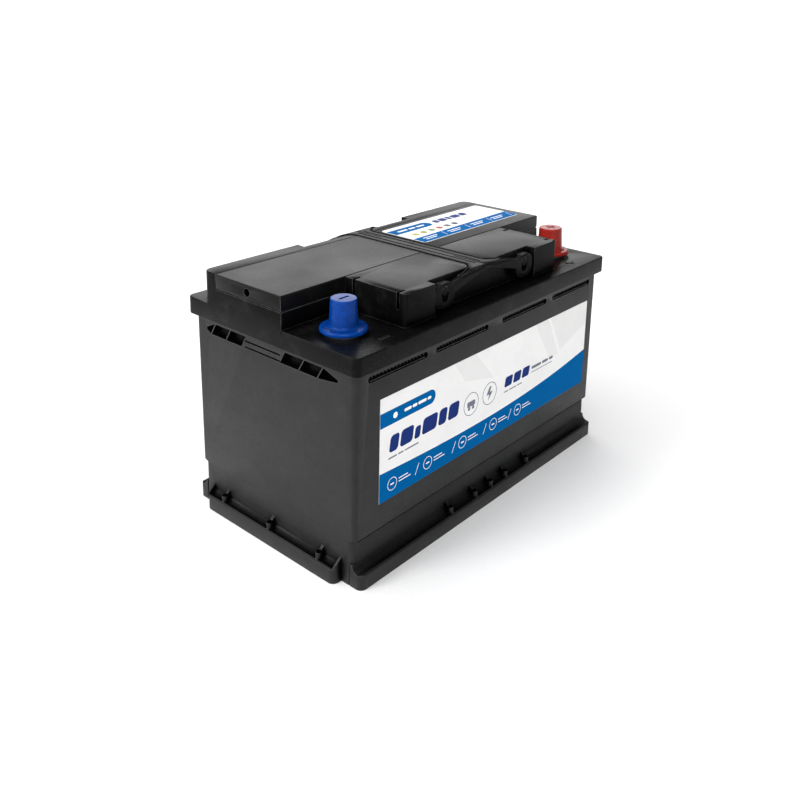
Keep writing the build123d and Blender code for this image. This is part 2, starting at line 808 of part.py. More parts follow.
for number, centre in enumerate(cell_centres, 1):
    stack_start = centre - stack_thickness / 2
    negative_y = -plate_strap_y if number % 2 == 1 else plate_strap_y
    plate_sets = (
        ("negative", negative_plate, negative_count, negative_plate / 2, negative_y),
        ("positive", positive_plate, positive_count, negative_plate / 2 + half_step, -negative_y),
    )
    for name, thickness, count, first_place, strap_y in plate_sets:
        with BuildPart() as plates:
            for i in range(count):
                place = stack_start + first_place + i * plate_step
                low_x = place - thickness / 2
                high_x = place + thickness / 2
                box_between(
                    (low_x, -plate_width / 2, plate_rest_height),
                    (high_x, plate_width / 2, plate_top),
                )
                box_between(
                    (low_x, strap_y - tab_width / 2, plate_top - 1),
                    (high_x, strap_y + tab_width / 2, plate_strap_bottom + 1),
                )
            box_between(
                (stack_start, strap_y - plate_strap_width / 2, plate_strap_bottom),
                (stack_start + stack_thickness, strap_y + plate_strap_width / 2, plate_strap_top),
            )
        plates.part.label = f"{name}_plates_{number}"
        export_step(plates.part, f"parts/{name}_plates_{number}.step")

    with BuildPart() as glass_mats:
        for i in range(negative_count - 1):
            for after in (0, positive_plate + mat_thickness):
                low_x = stack_start + negative_plate + i * plate_step + after + mat_gap
                box_between(
                    (low_x, -plate_width / 2 - mat_margin, plate_rest_height),
                    (low_x + mat_thickness - 2 * mat_gap, plate_width / 2 + mat_margin, plate_top + mat_rise),
                )
    glass_mats.part.label = f"glass_mats_{number}"
    export_step(glass_mats.part, f"parts/glass_mats_{number}.step")

weld_length = cell_pitch - stack_thickness
for number, place in enumerate(partition_centres, 1):
    with BuildPart() as cell_weld:
        weld_y = plate_strap_y if number % 2 == 1 else -plate_strap_y
        rod_along_x((place, weld_y, weld_z), weld_radius, weld_length)
    cell_weld.part.label = f"cell_weld_{number}"
    export_step(cell_weld.part, f"parts/cell_weld_{number}.step")

# ---------------------------------------------------------------- labels
with BuildPart() as front_label:
    wall_point = (front_label_shift, wall_shrink(front_label_middle) - wall_width / 2, front_label_middle)
    wall_normal = (0, -1, -tan(radians(draft_angle)))
    with BuildSketch(Plane(wall_point, x_dir=(1, 0, 0), z_dir=wall_normal)):
        Rectangle(*front_label_size)
    extrude(amount=label_thickness)
front_label.part.label = "front_label"
export_step(front_label.part, "parts/front_label.step")

with BuildPart() as top_label:
    with BuildSketch(Plane.XY.offset(overall_height)):
        with Locations(top_label_centre):
            RectangleRounded(*top_label_size, top_label_corner)
    extrude(amount=label_thickness)
top_label.part.label = "top_label"
export_step(top_label.part, "parts/top_label.step")
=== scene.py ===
import bpy
import math
import bmesh
from mathutils import Matrix, Vector


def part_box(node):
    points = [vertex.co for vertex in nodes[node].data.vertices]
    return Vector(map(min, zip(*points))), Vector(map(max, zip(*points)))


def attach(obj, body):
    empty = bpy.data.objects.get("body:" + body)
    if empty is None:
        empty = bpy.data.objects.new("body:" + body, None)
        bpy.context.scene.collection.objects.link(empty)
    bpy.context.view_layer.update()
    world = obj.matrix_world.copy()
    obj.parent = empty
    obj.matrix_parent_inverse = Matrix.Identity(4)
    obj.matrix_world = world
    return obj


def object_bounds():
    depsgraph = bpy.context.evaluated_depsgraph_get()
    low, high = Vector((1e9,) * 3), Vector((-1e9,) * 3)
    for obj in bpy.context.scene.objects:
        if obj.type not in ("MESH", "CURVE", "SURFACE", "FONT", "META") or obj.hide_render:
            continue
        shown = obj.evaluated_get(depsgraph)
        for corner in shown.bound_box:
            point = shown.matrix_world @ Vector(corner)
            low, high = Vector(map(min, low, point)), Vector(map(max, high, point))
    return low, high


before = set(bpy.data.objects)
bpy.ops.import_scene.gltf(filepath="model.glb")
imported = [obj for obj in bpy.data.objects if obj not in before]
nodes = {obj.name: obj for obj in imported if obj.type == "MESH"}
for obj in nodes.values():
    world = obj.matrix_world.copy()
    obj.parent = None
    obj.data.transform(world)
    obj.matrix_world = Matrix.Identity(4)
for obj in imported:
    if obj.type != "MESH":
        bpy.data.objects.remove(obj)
cad_low, cad_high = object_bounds()

MM = 0.001


# ---------------------------------------------------------------- node helpers
class Graph:
    """A node tree with helpers that add and join nodes."""

    def __init__(self, tree):
        self.tree = tree

    def node(self, kind, **settings):
        made = self.tree.nodes.new(kind)
        for key, value in settings.items():
            setattr(made, key, value)
        return made

    def join(self, source, target):
        self.tree.links.new(source, target)

    def remap(self, value, low, high, to_low, to_high):
        made = self.node("ShaderNodeMapRange")
        for key, number in (("From Min", low), ("From Max", high), ("To Min", to_low), ("To Max", to_high)):
            made.inputs[key].default_value = number
        self.join(value, made.inputs["Value"])
        return made.outputs["Result"]

    def math(self, operation, first, second):
        """A sum, product or comparison of two values, each a number or a socket."""
        made = self.node("ShaderNodeMath", operation=operation)
        for socket, value in zip(made.inputs, (first, second)):
            if isinstance(value, (int, float)):
                socket.default_value = value
            else:
                self.join(value, socket)
        return made.outputs["Value"]


class Shader(Graph):
    """A material being built around a principled shader."""

    def __init__(self, name):
        self.material = bpy.data.materials.new(name)
        self.material.use_nodes = True
        super().__init__(self.material.node_tree)
        self.surface = self.tree.nodes["Principled BSDF"]
        self.place = self.node("ShaderNodeTexCoord").outputs["Object"]

    def set(self, **values):
        for key, value in values.items():
            self.surface.inputs[key.replace("_", " ")].default_value = value

    def noise(self, scale, detail=3.0, roughness=0.5, stretch=(1, 1, 1)):
        """A noise value from 0 to 1, its scale in features per metre."""
        mapping = self.node("ShaderNodeMapping")
        mapping.inputs["Scale"].default_value = stretch
        self.join(self.place, mapping.inputs["Vector"])
        made = self.node("ShaderNodeTexNoise")
        made.inputs["Scale"].default_value = scale
        made.inputs["Detail"].default_value = detail
        made.inputs["Roughness"].default_value = roughness
        self.join(mapping.outputs["Vector"], made.inputs["Vector"])
        return made.outputs["Fac"]

    def cells(self, scale):
        """Distance to the nearest cell point, its scale in cells per metre."""
        made = self.node("ShaderNodeTexVoronoi", feature="F1")
        made.inputs["Scale"].default_value = scale
        self.join(self.place, made.inputs["Vector"])
        return made.outputs["Distance"]

    def blend(self, factor, first, second):
        """Mixes two colours, each a tuple or a socket, by a factor socket."""
        made = self.node("ShaderNodeMix", data_type="RGBA")
        self.join(factor, made.inputs["Factor"])
        for socket, value in ((made.inputs[6], first), (made.inputs[7], second)):
            if isinstance(value, tuple):
                socket.default_value = (*value, 1.0)
            else:
                self.join(value, socket)
        return made.outputs[2]

    def edges(self, radius, start, end):
        """A mask that is 1 on edges and 0 on flats, from how far the rounded normal leans."""
        rounded = self.node("ShaderNodeBevel", samples=4)
        rounded.inputs["Radius"].default_value = radius
        flat = self.node("ShaderNodeNewGeometry").outputs["Normal"]
        dot = self.node("ShaderNodeVectorMath", operation="DOT_PRODUCT")
        self.join(rounded.outputs["Normal"], dot.inputs[0])
        self.join(flat, dot.inputs[1])
        return self.remap(dot.outputs["Value"], start, end, 1.0, 0.0)

    def hollows(self, reach):
        """A mask that is 1 in the open and falls towards 0 inside slots, pockets and tight corners."""
        made = self.node("ShaderNodeAmbientOcclusion", samples=8, only_local=True)
        made.inputs["Distance"].default_value = reach
        return made.outputs["AO"]

    def bump(self, height, strength, distance, under=None):
        made = self.node("ShaderNodeBump")
        made.inputs["Strength"].default_value = strength
        made.inputs["Distance"].default_value = distance
        self.join(height, made.inputs["Height"])
        if under is not None:
            self.join(under, made.inputs["Normal"])
        return made.outputs["Normal"]

    def finish(self, colour=None, roughness=None, normal=None):
        for key, socket in (("Base Color", colour), ("Roughness", roughness), ("Normal", normal)):
            if socket is not None:
                self.join(socket, self.surface.inputs[key])
        return self.material


# ---------------------------------------------------------------- materials
# how far the painted shade reaches into slots, pockets and tight corners
painted_shade_reach = 22 * MM
# the width of the edge band lightened partly by wear and partly as a painted highlight
wear_and_highlight_radius = 0.9 * MM


def scaled(colour, factor):
    return tuple(factor * c for c in colour)


def moulded_plastic(name, colour, wear_and_highlight, roughness, grain=1.0, specular=0.5, hollow=0.0, shut_in=0.40):
    """Injection-moulded plastic: fine grain, flow marks, a little dust, painted shade in hollows, and edges
    lightened partly by wear and partly as a painted highlight.
    """
    shader = Shader(name)
    flow = shader.noise(22, detail=4, stretch=(1.0, 1.0, 2.4))
    mottle = shader.noise(210, detail=5, roughness=0.65)
    fine = shader.noise(900, detail=3, roughness=0.6)
    dust = shader.remap(shader.noise(60, detail=6, roughness=0.7), 0.52, 0.8, 0.0, 0.18)
    tint = shader.blend(
        shader.remap(mottle, 0.3, 0.7, 0.0, 1.0),
        scaled(colour, 0.8),
        scaled(colour, 1.2),
    )
    dusty = shader.blend(dust, tint, tuple(0.7 * c + 0.3 * w for c, w in zip(colour, wear_and_highlight)))
    # painted shade: the colour falls towards a dark copy of itself inside slots, pockets and tight corners,
    # where shade would fall
    open_air = shader.remap(shader.hollows(painted_shade_reach), shut_in, 0.95, hollow, 1.0)
    painted_hollow_shade = shader.blend(open_air, scaled(colour, 0.15), dusty)
    # edges lighten towards the edge colour, partly as wear and partly as a painted highlight along them
    corners = shader.edges(wear_and_highlight_radius, 0.74, 0.98)
    wear_and_highlight_mask = shader.math("MULTIPLY", corners, shader.remap(mottle, 0.35, 0.65, 0.35, 0.95))
    edge = shader.math("MULTIPLY", wear_and_highlight_mask, open_air)
    rough = shader.math(
        "ADD",
        shader.remap(flow, 0.3, 0.7, roughness - 0.05, roughness + 0.05),
        shader.remap(fine, 0.3, 0.7, -0.07, 0.07),
    )
    # the same painted shade dims the reflection in hollows
    shader.join(shader.math("MULTIPLY", open_air, specular), shader.surface.inputs["Specular IOR Level"])
    normal = shader.bump(fine, 0.30 * grain, 0.00012)
    normal = shader.bump(mottle, 0.12 * grain, 0.0003, normal)
    normal = shader.bump(flow, 0.06, 0.0006, normal)
    return shader.finish(shader.blend(edge, painted_hollow_shade, wear_and_highlight), rough, normal)


def cast_lead(name, colour):
    """Cast lead: dull grey with a mottled oxide bloom and shallow casting pits."""
    shader = Shader(name)
    shader.set(Metallic=0.75)
    bloom = shader.noise(260, detail=6, roughness=0.65)
    pits = shader.cells(1500)
    tint = shader.blend(shader.remap(bloom, 0.35, 0.65, 0.0, 1.0), scaled(colour, 0.7), colour)
    normal = shader.bump(pits, 0.25, 0.0001)
    normal = shader.bump(bloom, 0.2, 0.0003, normal)
    return shader.finish(tint, shader.remap(bloom, 0.3, 0.7, 0.42, 0.68), normal)


def plate_paste(name, colour):
    """Pressed active paste with a faint rectangular grid showing through."""
    shader = Shader(name)
    coarse = shader.noise(900, detail=5)
    grid = shader.node("ShaderNodeTexBrick", offset=0.0)
    grid.inputs["Scale"].default_value = 1.0
    grid.inputs["Brick Width"].default_value = 12 * MM
    grid.inputs["Row Height"].default_value = 8 * MM
    grid.inputs["Mortar Size"].default_value = 0.8 * MM
    turn = shader.node("ShaderNodeMapping")
    turn.inputs["Rotation"].default_value = (0.0, math.pi / 2, 0.0)
    shader.join(shader.place, turn.inputs["Vector"])
    shader.join(turn.outputs["Vector"], grid.inputs["Vector"])
    patches = shader.remap(coarse, 0.3, 0.7, 0.0, 1.0)
    tint = shader.blend(patches, scaled(colour, 0.75), scaled(colour, 1.2))
    lined = shader.blend(grid.outputs["Fac"], tint, tuple(0.5 * c + 0.1 for c in colour))
    normal = shader.bump(coarse, 0.5, 0.0002)
    return shader.finish(lined, shader.remap(coarse, 0.3, 0.7, 0.8, 0.95), normal)


def glass_mat(name):
    """White felted glass fibre."""
    shader = Shader(name)
    felt = shader.noise(1800, detail=6, stretch=(1.0, 0.25, 1.0))
    tint = shader.blend(shader.remap(felt, 0.3, 0.7, 0.0, 1.0), (0.66, 0.66, 0.63), (0.86, 0.86, 0.84))
    return shader.finish(tint, shader.remap(felt, 0.3, 0.7, 0.85, 1.0), shader.bump(felt, 0.6, 0.0002))


def soft_rubber(name, colour):
    """Matt rubber with a pale bloom."""
    shader = Shader(name)
    bloom = shader.noise(400, detail=5)
    tint = shader.blend(shader.remap(bloom, 0.4, 0.75, 0.0, 0.5), colour, tuple(c + 0.04 for c in colour))
    return shader.finish(tint, shader.remap(bloom, 0.3, 0.7, 0.6, 0.8), shader.bump(bloom, 0.2, 0.0002))


def porous_ceramic(name):
    """A pressed sintered disc, full of small pores."""
    shader = Shader(name)
    pores = shader.cells(3500)
    tint = shader.blend(shader.remap(pores, 0.0, 0.5, 0.0, 1.0), (0.35, 0.33, 0.30), (0.66, 0.64, 0.60))
    return shader.finish(tint, shader.remap(pores, 0.0, 0.6, 0.95, 0.8), shader.bump(pores, 0.8, 0.0003))


def printed_film(name, colour, roughness=0.42, shade=0.93, specular=0.015):
    """Laminated vinyl film: nearly flat, with a faint orange-peel wave and light soiling."""
    shader = Shader(name)
    shader.set(Specular_IOR_Level=specular)
    wave = shader.noise(45, detail=2)
    speck = shader.noise(900, detail=4)
    soil = shader.remap(shader.noise(25, detail=6, roughness=0.7), 0.45, 0.8, 0.0, 1.0)
    tint = shader.blend(soil, colour, scaled(colour, shade))
    rough = shader.math(
        "ADD",
        shader.remap(speck, 0.3, 0.7, -0.03, 0.03),
        shader.remap(wave, 0.3, 0.7, roughness - 0.04, roughness + 0.05),
    )
    normal = shader.bump(wave, 0.12, 0.0006)
    return shader.finish(tint, rough, shader.bump(speck, 0.04, 0.00005, normal))


case_black = (0.009, 0.009, 0.0094)
lid_black = (0.0028, 0.0028, 0.003)
deep_black = (0.004, 0.004, 0.0042)
# edge colours: lighter tones on edges, partly wear and partly a painted highlight
case_wear_and_highlight = (0.13, 0.13, 0.132)
pale_wear_and_highlight = (0.2, 0.2, 0.2)
dark_wear_and_highlight = (0.06, 0.06, 0.06)
cap_blue = (0.0006, 0.035, 0.215)
cap_red = (0.235, 0.014, 0.010)
blue_wear_and_highlight = (0.02, 0.08, 0.36)
red_wear_and_highlight = (0.42, 0.07, 0.05)
# the caps take a fainter grain and a lighter painted shade in their hollows
cap_grain_and_shade = {"grain": 0.25, "hollow": 0.15}
case_plastic = moulded_plastic("case_plastic", case_black, case_wear_and_highlight, 0.42, specular=0.25, shut_in=0.64)
lid_plastic = moulded_plastic("lid_plastic", lid_black, pale_wear_and_highlight, 0.33, specular=0.06, shut_in=0.5)
cover_plastic = moulded_plastic("cover_plastic", deep_black, pale_wear_and_highlight, 0.38, grain=1.5, specular=0.09)
handle_plastic = moulded_plastic("handle_plastic", deep_black, dark_wear_and_highlight, 0.36, specular=0.05)
valve_plastic = moulded_plastic("valve_plastic", (0.08, 0.08, 0.085), pale_wear_and_highlight, 0.45)
plug_plastic = moulded_plastic("plug_plastic", (0.016, 0.016, 0.017), dark_wear_and_highlight, 0.45)
blue_plastic = moulded_plastic("blue_cap_plastic", cap_blue, blue_wear_and_highlight, 0.25, specular=0.11, **cap_grain_and_shade)
red_plastic = moulded_plastic("red_cap_plastic", cap_red, red_wear_and_highlight, 0.28, specular=0.13, **cap_grain_and_shade)
terminal_lead = cast_lead("terminal_lead", (0.36, 0.37, 0.39))
negative_lead = plate_paste("negative_plate_lead", (0.22, 0.23, 0.25))
positive_paste = plate_paste("positive_plate_paste", (0.115, 0.05, 0.03))
white_mat = glass_mat("glass_mat")
seal_rubber = soft_rubber("seal_rubber", (0.02, 0.02, 0.02))
arrestor_ceramic = porous_ceramic("arrestor_ceramic")
white_film = printed_film("label_white", (0.81, 0.81, 0.805))
pale_film = printed_film("label_pale_grey", (0.745, 0.745, 0.74))
blue_film = printed_film("label_blue", (0.001, 0.105, 0.315), specular=0.003)
navy_film = printed_film("label_navy", (0.012, 0.030, 0.160))
ink_film = printed_film("label_ink", (0.16, 0.17, 0.22))
bright_film = printed_film("label_bright_white", (0.86, 0.86, 0.86))


def dress(name, material):
    """Gives a CAD node one material."""
    node = nodes[name]
    node.data.materials.clear()
    node.data.materials.append(material)


def angle_smoothing(name, degrees):
    """A node group that shades faces smooth and keeps edges sharper than an angle crisp."""
    group = bpy.data.node_groups.new(name, "GeometryNodeTree")
    group.interface.new_socket("Geometry", in_out="INPUT", socket_type="NodeSocketGeometry")
    group.interface.new_socket("Geometry", in_out="OUTPUT", socket_type="NodeSocketGeometry")
    graph = Graph(group)
    start = graph.node("NodeGroupInput")
    end = graph.node("NodeGroupOutput")
    smooth_faces = graph.node("GeometryNodeSetShadeSmooth", domain="FACE")
    crisp_edges = graph.node("GeometryNodeSetShadeSmooth", domain="EDGE")
    crisp_edges.inputs["Shade Smooth"].default_value = False
    angle = graph.node("GeometryNodeInputMeshEdgeAngle").outputs["Unsigned Angle"]
    graph.join(graph.math("GREATER_THAN", angle, math.radians(degrees)), crisp_edges.inputs["Selection"])
    graph.join(start.outputs[0], smooth_faces.inputs[0])
    graph.join(smooth_faces.outputs[0], crisp_edges.inputs[0])
    graph.join(crisp_edges.outputs[0], end.inputs[0])
    return group


smooth_group = angle_smoothing("shade smooth by angle", 33)
bevel_angle = math.radians(40)
weld_distance = 0.002 * MM


def soften(name, width):
    """Rounds a CAD node's sharp edges and evens its shading, with modifiers alone."""
    node = nodes[name]
    weld = node.modifiers.new("join split corners", "WELD")
    weld.merge_threshold = weld_distance
    if width:
        bevel = node.modifiers.new("small edge rounds", "BEVEL")
        bevel.width = width
        bevel.segments = 2
        bevel.limit_method = "ANGLE"
        bevel.angle_limit = bevel_angle
        bevel.use_clamp_overlap = False
    node.modifiers.new("smooth shading", "NODES").node_group = smooth_group


dressing = {
    "container": case_plastic,
    "lid": lid_plastic,
    "vent_cover": cover_plastic,
    "carry_handle": handle_plastic,
    "vent_plug": plug_plastic,
    "negative_cap": blue_plastic,
    "positive_cap": red_plastic,
    "valve_seals": seal_rubber,
    "front_label": white_film,
    "top_label": white_film,
}
endings = {
    "_terminal": terminal_lead,
    "_pillar": terminal_lead,
}
beginnings = {
    "valve_plug": valve_plastic,
    "flame_arrestor": arrestor_ceramic,
    "positive_plates": positive_paste,
    "negative_plates": negative_lead,
    "glass_mats": white_mat,
    "cell_weld": terminal_lead,
}
for name in nodes:
    chosen = dressing.get(name)
    for ending, material in endings.items():
        if name.endswith(ending):
            chosen = material
    for beginning, material in beginnings.items():
        if name.startswith(beginning):
            chosen = material
    dress(name, chosen)

rounds = {
    "container": 0.2 * MM,
    "lid": 0.5 * MM,
    "vent_cover": 0.25 * MM,
    "carry_handle": 0.35 * MM,
    "vent_plug": 0.15 * MM,
}
for name in nodes:
    if not name.startswith(("positive_plates", "negative_plates", "glass_mats")):
        soften(name, rounds.get(name, 0))


# ---------------------------------------------------------------- small raised parts
def mesh_piece(name, mesh, material, body, smooth=True):
    """Turns a finished bmesh into a piece that rides on a body."""
    bmesh.ops.recalc_face_normals(mesh, faces=mesh.faces)
    data = bpy.data.meshes.new(name)
    mesh.to_mesh(data)
    mesh.free()
    data.materials.append(material)
    data.polygons.foreach_set("use_smooth", [smooth] * len(data.polygons))
    piece = bpy.data.objects.new(name, data)
    bpy.context.scene.collection.objects.link(piece)
    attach(piece, body)


def add_bead(mesh, points, radius, sides=10):
    """Adds a round bead along a path of points in millimetres, with tapered closed ends."""
    path = [Vector(p) * MM for p in points]
    rings = []
    for i, point in enumerate(path):
        along = (path[min(i + 1, len(path) - 1)] - path[max(i - 1, 0)]).normalized()
        across = along.cross(Vector((0, 0, 1))).normalized()
        above = across.cross(along)
        size = radius * MM * (0.35 if i in (0, len(path) - 1) else 1.0)
        ring = []
        for k in range(sides):
            turn = 2 * math.pi * k / sides
            ring.append(mesh.verts.new(point + size * (math.cos(turn) * across + math.sin(turn) * above)))
        rings.append(ring)
    for first, second in zip(rings, rings[1:]):
        for k in range(sides):
            j = (k + 1) % sides
            mesh.faces.new((first[k], first[j], second[j], second[k]))
    mesh.faces.new(list(reversed(rings[0])))
    mesh.faces.new(rings[-1])


def add_block(mesh, low, high):
    """Adds a small box between two corners in millimetres."""
    corners = []
    for x in (low[0], high[0]):
        for y in (low[1], high[1]):
            corners += [mesh.verts.new(Vector((x, y, z)) * MM) for z in (low[2], high[2])]
    for face in ((0, 1, 3, 2), (4, 6, 7, 5), (0, 4, 5, 1), (2, 3, 7, 6), (0, 2, 6, 4), (1, 5, 7, 3)):
        mesh.faces.new([corners[i] for i in face])


# beads along the strap's edges, which turn out along the legs to the lugs
handle_low, handle_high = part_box("carry_handle")
strap_top = handle_high.z / MM
front_y = handle_low.y / MM
back_y = handle_high.y / MM
handle_mid = (front_y + back_y) / 2
bead_radius = 0.75
bead_inset = 1.0
bead_sink = 0.2
strap_half_width = 10.0
leg_depth = 5.8
flare = 10.0
edge_beads = bmesh.new()
for side in (-1, 1):
    half = []
    flare_centre = (side * (strap_half_width + flare - bead_inset), front_y + leg_depth + flare - bead_inset)
    for degrees in range(0, 91, 10):
        turn = math.radians(degrees)
        half.append(
            (
                flare_centre[0] - side * flare * math.cos(turn),
                flare_centre[1] - flare * math.sin(turn),
                strap_top - bead_sink,
            )
        )
    leg = [
        (side * 22.0, front_y + 4.6, strap_top - 1.4),
        (side * 26.0, front_y + 3.6, strap_top - 2.5),
        (side * 33.0, front_y + 3.0, strap_top - 3.5),
        (side * 40.0, front_y + 2.8, strap_top - 4.5),
    ]
    front_end = half + leg
    back_end = [(x, 2 * handle_mid - y, z) for x, y, z in front_end]
    add_bead(edge_beads, list(reversed(front_end)) + back_end, bead_radius)
mesh_piece("handle_edge_beads", edge_beads, handle_plastic, "handle")

# rims along the front and back edges of the legs
leg_rims = bmesh.new()
for side in (-1, 1):
    rim = [
        (side * 1.2, front_y + 1.6, strap_top - 1.5),
        (side * 12.0, front_y + 1.35, strap_top - 1.6),
        (side * 20.0, front_y + 1.1, strap_top - 2.0),
        (side * 28.0, front_y + 0.95, strap_top - 2.9),
        (side * 40.0, front_y + 0.9, strap_top - 4.6),
    ]
    add_bead(leg_rims, rim, bead_radius)
    add_bead(leg_rims, [(x, 2 * handle_mid - y, z) for x, y, z in rim], bead_radius)
mesh_piece("handle_leg_rims", leg_rims, handle_plastic, "handle")

# comb-like teeth and a fine ledge inside the grip slots, in millimetres
slot_spans = ((9.0, 70.5), (79.5, 139.0))
slot_end_gap = 2.4
slot_floor = 79.2
tooth_pitch = 3.3
tooth_width = 0.9
tooth_face = slot_floor + 1.1
tooth_heights = (144.8, 147.5)
ledge_face = slot_floor + 2.6
ledge_heights = (143.9, 144.2)
for name, side in (("front", -1), ("back", 1)):
    teeth = bmesh.new()
    for near, far in slot_spans:
        for end in (-1, 1):
            start, stop = sorted((end * (near + slot_end_gap), end * (far - slot_end_gap)))
            count = int((stop - start) / tooth_pitch)
            low_y, high_y = sorted((side * slot_floor, side * tooth_face))
            for i in range(count + 1):
                x = start + i * (stop - start) / count
                tooth_low = (x - tooth_width / 2, low_y, tooth_heights[0])
                tooth_high = (x + tooth_width / 2, high_y, tooth_heights[1])
                add_block(teeth, tooth_low, tooth_high)
            low_y, high_y = sorted((side * slot_floor, side * ledge_face))
            add_block(teeth, (start, low_y, ledge_heights[0]), (stop, high_y, ledge_heights[1]))
    mesh_piece(f"grip_teeth_{name}", teeth, case_plastic, "battery", smooth=False)


# ---------------------------------------------------------------- printed shapes
def arc(centre, radius, degrees):
    """Points on a circle around a centre, one for each angle in degrees."""
    turns = [math.radians(angle) for angle in degrees]
    return [(centre[0] + radius * math.cos(turn), centre[1] + radius * math.sin(turn)) for turn in turns]


class Print:
    """Flat printed shapes in one colour on a label, as thin closed slabs in one mesh."""

    sink = -0.02

    def __init__(self, name, place, material, thickness=0.05):
        self.name = name
        self.place = place
        self.material = material
        self.thickness = thickness
        self.mesh = bmesh.new()

    def shape(self, outline):
        """A filled outline of (u, v) points in label millimetres, in order."""
        low = [self.mesh.verts.new(self.place(u, v, self.sink)) for u, v in outline]
        high = [self.mesh.verts.new(self.place(u, v, self.thickness)) for u, v in outline]
        self.mesh.faces.new(high)
        self.mesh.faces.new(list(reversed(low)))
        for i in range(len(outline)):
            j = (i + 1) % len(outline)
            self.mesh.faces.new((low[i], low[j], high[j], high[i]))

    def ribbon(self, left, right):
        """A band between two edges of (u, v) points of the same count."""
        rows = []
        for pair in zip(left, right):
            row = []
            for lift in (self.sink, self.thickness):
                row += [self.mesh.verts.new(self.place(*point, lift)) for point in pair]
            rows.append(row)
        for first, second in zip(rows, rows[1:]):
            self.mesh.faces.new((first[2], first[3], second[3], second[2]))
            self.mesh.faces.new((first[1], first[0], second[0], second[1]))
            self.mesh.faces.new((first[0], first[2], second[2], second[0]))
            self.mesh.faces.new((first[3], first[1], second[1], second[3]))
        first, last = rows[0], rows[-1]
        self.mesh.faces.new((first[0], first[1], first[3], first[2]))
        self.mesh.faces.new((last[1], last[0], last[2], last[3]))

    def ring(self, centre, radius, width, steps=48):
        """A closed ring of a given outer radius and line width."""
        rows = []
        degrees = [360 * i / steps for i in range(steps)]
        for pair in zip(arc(centre, radius, degrees), arc(centre, radius - width, degrees)):
            row = []
            for point in pair:
                row += [self.mesh.verts.new(self.place(*point, lift)) for lift in (self.sink, self.thickness)]
            rows.append(row)
        for i in range(steps):
            first, second = rows[i], rows[(i + 1) % steps]
            for a, b in ((0, 1), (1, 3), (3, 2), (2, 0)):
                self.mesh.faces.new((first[a], second[a], second[b], first[b]))

    def disc(self, centre, radius, steps=32):
        self.shape(arc(centre, radius, [360 * i / steps for i in range(steps)]))

    def bar(self, u, v, length, width, slant=0.0, round_end=0.5):
        """A rounded bar from (u, v), its lower left corner, leaning by slant per unit of height."""
        radius = round_end * width
        outline = []
        for corner, start in (
            ((length - radius, radius), -90),
            ((length - radius, width - radius), 0),
            ((radius, width - radius), 90),
            ((radius, radius), 180),
        ):
            for du, dv in arc(corner, radius, range(start, start + 91, 15)):
                outline.append((u + du + slant * dv, v + dv))
        self.shape(outline)

    def done(self):
        """Joins doubled points and turns the shapes into one piece on the battery."""
        bmesh.ops.remove_doubles(self.mesh, verts=self.mesh.verts, dist=1e-7)
        mesh_piece(self.name, self.mesh, self.material, "battery", smooth=False)


def curve_points(start, first, second, end, steps=40):
    """Points along a cubic curve with these four control points."""
    controls = (start, first, second, end)
    points = []
    for i in range(steps + 1):
        t = i / steps
        weights = ((1 - t) ** 3, 3 * t * (1 - t) ** 2, 3 * t * t * (1 - t), t**3)
        points.append(tuple(sum(w * p[k] for w, p in zip(weights, controls)) for k in (0, 1)))
    return points


# ---------------------------------------------------------------- front label
front_low, front_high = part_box("front_label")
label_film_thickness = 0.25 * MM
front_width = (front_high.x - front_low.x) / MM
front_lean = (front_high.y - front_low.y - label_film_thickness) / (front_high.z - front_low.z)


def on_front(u, v, lift):
    """A point of the front label from its lower left corner, lifted off its face."""
    z = front_low.z + v * MM
    y = front_low.y + (front_high.z - z) * front_lean - lift * MM
    return Vector((front_low.x + u * MM, y, z))


# pale facets that hang from the film's upper edge
film_top = 76
facets = Print("front_label_facets", on_front, pale_film, 0.02)
facets.shape([(78, film_top), (92, 58), (128, 49.5), (104, film_top)])
facets.shape([(184, film_top), (207, 41), (221, 40), (203, film_top)])
facets.shape([(224, 43), (front_width, 56), (front_width, film_top), (206, film_top)])
facets.done()

# the curved band along the bottom and the pill at the top left
swoosh_top = curve_points((0, 21.8), (87.3, 16.5), (174.7, 15.5), (front_width, 31.0))
swoosh = Print("front_label_blue_band", on_front, blue_film, 0.04)
swoosh.ribbon(swoosh_top, [(u, 0.0) for u, v in swoosh_top])
pill_end = arc((51.9, 59.95), 5.35, range(-90, 91, 10))
swoosh.shape([(0.0, 54.6), *pill_end, (0.0, 65.3)])
swoosh.done()

# a bright line over the band, round icons with two bars each, dividers, and the pill's disc and bars
highlight = Print("front_label_highlight", on_front, bright_film, 0.06)
highlight.ribbon([(u, v + 1.0) for u, v in swoosh_top], [(u, v + 0.1) for u, v in swoosh_top])
for place in (13.0, 50.6, 91.0, 129.8, 163.2):
    highlight.ring((place, 10.0), 4.8, 0.45)
    highlight.bar(place - 1.9, 9.4, 3.8, 1.1)
    highlight.bar(place + 6.7, 10.9, 9.5, 0.7)
    highlight.bar(place + 6.7, 8.6, 12.5, 0.7)
for place in (36.7, 78.3, 116.6, 149.8):
    highlight.bar(place, 6.0, 0.6, 8.0, slant=0.5, round_end=0.0)
highlight.disc((15.0, 60.0), 2.2)
for place, length in ((24.0, 7.5), (32.5, 5.0), (38.5, 9.0), (48.5, 4.0)):
    highlight.bar(place, 58.9, length, 2.2)
highlight.done()

# plain leaning blocks where the lettering was, given by place and length
emblem = Print("front_label_emblem", on_front, navy_film, 0.06)
for place, length in ((9.0, 9.0), (20.0, 13.0), (35.0, 6.0), (43.0, 16.0), (61.0, 9.0), (72.0, 12.0)):
    emblem.bar(place, 34.0, length, 12.0 if length > 8 else 9.0, slant=0.16, round_end=0.22)
for place, length in ((142.8, 10.0), (154.8, 10.0), (166.8, 10.0)):
    emblem.bar(place, 35.6, length, 8.2, slant=0.2, round_end=0.2)
emblem.done()

